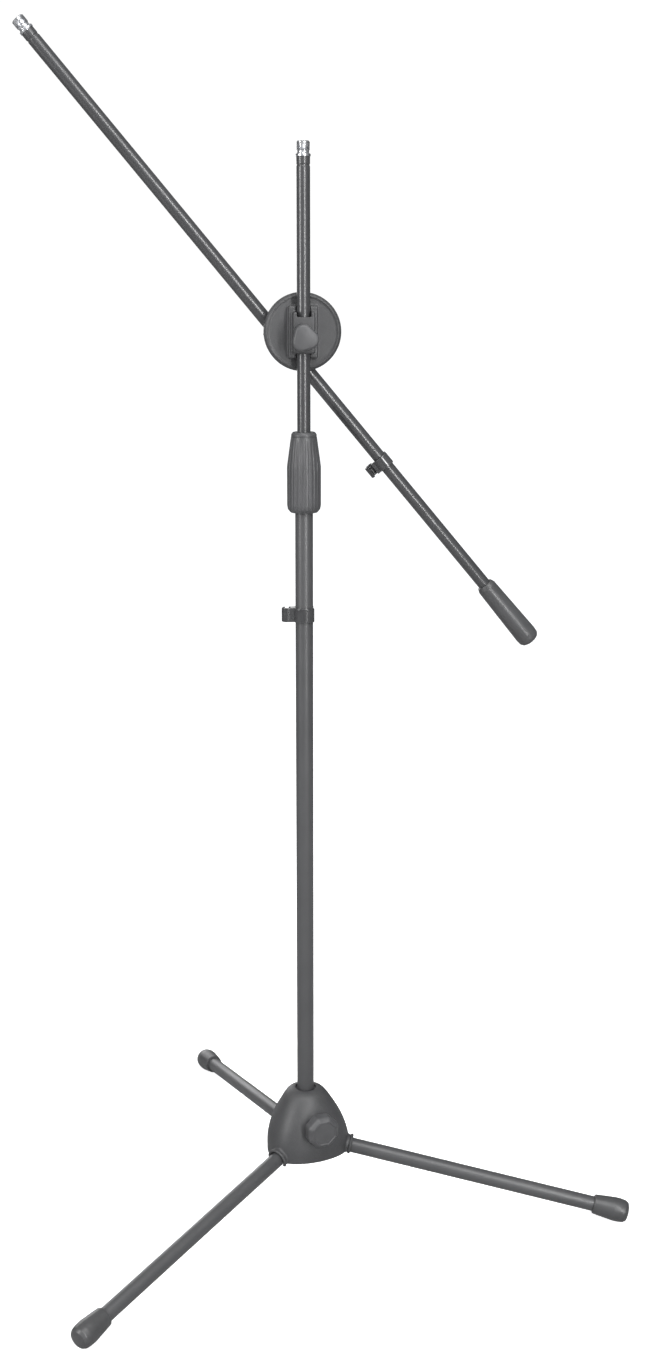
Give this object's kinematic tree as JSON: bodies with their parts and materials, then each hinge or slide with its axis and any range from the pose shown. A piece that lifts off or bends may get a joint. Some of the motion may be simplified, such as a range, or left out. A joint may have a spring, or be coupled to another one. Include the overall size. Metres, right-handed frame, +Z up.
{
  "type": "boom microphone stand",
  "caption": "Floor stand with a telescoping column, a tilting and sliding boom on a disc clamp, threaded tips for a microphone and folding tripod legs.",
  "frame": {"origin": "on the column's axis at the level of the floor that the feet rest on", "axes": "+Z up the column, +X towards the boom's handle end, +Y from the clamp knob through the tilt disc to the boom"},
  "size_m": [0.7416, 0.7234, 1.4811],
  "materials": {
    "tube_enamel": "semi-matt dark powder coat",
    "cast_enamel": "fine-textured dark powder coat on a casting",
    "leg_enamel": "semi-matt dark powder coat",
    "chrome": "bright plated",
    "zinc": "zinc plated",
    "brass": "turned",
    "knob_plastic": "satin moulded plastic",
    "grip_plastic": "satin moulded plastic with fine flutes",
    "clip_plastic": "glossy black moulding",
    "liner_plastic": "black nylon",
    "natural_nylon": "natural nylon",
    "rubber": "matt moulded rubber",
    "friction_fibre": "pressed fibre"
  },
  "bodies": {
    "base": {"hub_housing": "cast_enamel", "hub_liner": "liner_plastic", "hub_nut": "brass", "leg_pins": "zinc"},
    "leg_right": {"leg_knuckle_right": "cast_enamel", "leg_tube_right": "leg_enamel", "foot_right": "rubber"},
    "leg_rear": {"leg_knuckle_rear": "cast_enamel", "leg_tube_rear": "leg_enamel", "foot_rear": "rubber"},
    "leg_left": {"leg_knuckle_left": "cast_enamel", "leg_tube_left": "leg_enamel", "foot_left": "rubber"},
    "hub_pad": {"hub_pad": "natural_nylon"},
    "hub_knob": {"hub_knob": "knob_plastic", "hub_knob_screw": "zinc"},
    "lower_column": {"lower_tube": "leg_enamel", "lower_tube_plug": "liner_plastic", "clutch_collar": "zinc", "clutch_collet": "natural_nylon"},
    "lower_clip": {"lower_clip": "clip_plastic"},
    "clutch": {"clutch_grip": "grip_plastic", "clutch_cap": "grip_plastic"},
    "column_guide": {"column_guide": "natural_nylon"},
    "upper_column": {"upper_tube": "tube_enamel", "column_adapter": "chrome"},
    "clamp_liner": {"clamp_liner": "liner_plastic"},
    "clamp": {"clamp_body": "cast_enamel", "clamp_nut": "brass", "tilt_bolt": "zinc", "friction_disc": "friction_fibre"},
    "clamp_pad": {"clamp_pad": "natural_nylon"},
    "clamp_knob": {"clamp_knob": "knob_plastic", "clamp_screw": "zinc"},
    "boom_holder": {"boom_holder": "cast_enamel"},
    "tilt_washer": {"tilt_washer": "zinc"},
    "tilt_knob": {"tilt_knob": "knob_plastic", "tilt_nut": "brass"},
    "boom_liner": {"boom_liner": "liner_plastic"},
    "boom": {"boom_tube": "tube_enamel", "boom_adapter": "chrome", "boom_handle": "rubber", "boom_end_plug": "liner_plastic"},
    "boom_clip": {"boom_clip": "clip_plastic"}
  },
  "joints": [
    {"name": "leg_right_fold", "type": "hinge", "parent": "base", "child": "leg_right", "pos_m": [0.03711, -0.00816, 0.08513], "axis": [0.2147, 0.9767, 0], "range_deg": [0, 78]},
    {"name": "leg_rear_fold", "type": "hinge", "parent": "base", "child": "leg_rear", "pos_m": [-0.01149, 0.03622, 0.08513], "axis": [-0.9532, -0.3024, 0], "range_deg": [0, 78]},
    {"name": "leg_left_fold", "type": "hinge", "parent": "base", "child": "leg_left", "pos_m": [-0.02562, -0.02806, 0.08513], "axis": [0.7385, -0.6743, 0], "range_deg": [0, 78]},
    {"name": "hub_pad_slide", "type": "slide", "parent": "base", "child": "hub_pad", "axis": [0.3024, -0.9532, 0], "range_m": [0, 0.00313]},
    {"name": "hub_knob_turn", "type": "hinge", "parent": "hub_pad", "child": "hub_knob", "pos_m": [0, 0, 0.125], "axis": [0.3024, -0.9532, 0], "range_deg": [0, 900]},
    {"name": "column_slide", "type": "slide", "parent": "base", "child": "lower_column", "axis": [0, 0, 1], "range_m": [-0.4, 0]},
    {"name": "lower_clip_slide", "type": "slide", "parent": "lower_column", "child": "lower_clip", "axis": [0, 0, 1], "range_m": [-0.2, 0.11]},
    {"name": "clutch_twist", "type": "hinge", "parent": "lower_column", "child": "clutch", "pos_m": [0, 0, 0.96], "axis": [0, 0, 1], "range_deg": [-180, 0]},
    {"name": "upper_slide", "type": "slide", "parent": "lower_column", "child": "column_guide", "axis": [0, 0, 1], "range_m": [-0.068, 0.34]},
    {"name": "upper_turn", "type": "hinge", "parent": "column_guide", "child": "upper_column", "pos_m": [0, 0, 0.6], "axis": [0, 0, 1], "continuous": true},
    {"name": "clamp_slide", "type": "slide", "parent": "upper_column", "child": "clamp_liner", "axis": [0, 0, 1], "range_m": [0, 0.15]},
    {"name": "clamp_swivel", "type": "hinge", "parent": "clamp_liner", "child": "clamp", "pos_m": [0, 0, 1.1275], "axis": [0, 0, 1], "continuous": true},
    {"name": "clamp_pad_slide", "type": "slide", "parent": "clamp", "child": "clamp_pad", "axis": [0, -1, 0], "range_m": [0, 0.0025]},
    {"name": "clamp_knob_turn", "type": "hinge", "parent": "clamp_pad", "child": "clamp_knob", "pos_m": [0, -0.02, 1.122], "axis": [0, -1, 0], "range_deg": [0, 720]},
    {"name": "boom_tilt", "type": "hinge", "parent": "clamp", "child": "boom_holder", "pos_m": [0, 0.03, 1.1275], "axis": [0, 1, 0], "continuous": true},
    {"name": "tilt_washer_slide", "type": "slide", "parent": "clamp", "child": "tilt_washer", "axis": [0, 1, 0], "range_m": [0, 0.0025]},
    {"name": "tilt_knob_turn", "type": "hinge", "parent": "tilt_washer", "child": "tilt_knob", "pos_m": [0, 0.06, 1.1275], "axis": [0, 1, 0], "range_deg": [0, 720]},
    {"name": "boom_spin", "type": "hinge", "parent": "boom_holder", "child": "boom_liner", "pos_m": [-0.01844, 0.038, 1.11214], "axis": [0.6401, 0, -0.7683], "continuous": true},
    {"name": "boom_slide", "type": "slide", "parent": "boom_liner", "child": "boom", "axis": [0.6401, 0, -0.7683], "range_m": [-0.1, 0.38]},
    {"name": "boom_clip_slide", "type": "slide", "parent": "boom", "child": "boom_clip", "axis": [0.6401, 0, -0.7683], "range_m": [-0.03, 0.15]}
  ],
  "couplings": [
    {"joint": "hub_knob_turn", "follows": "hub_pad_slide", "rad_per_m": 5026.5},
    {"joint": "clamp_knob_turn", "follows": "clamp_pad_slide", "rad_per_m": 5026.5},
    {"joint": "tilt_knob_turn", "follows": "tilt_washer_slide", "rad_per_m": 5026.5}
  ]
}
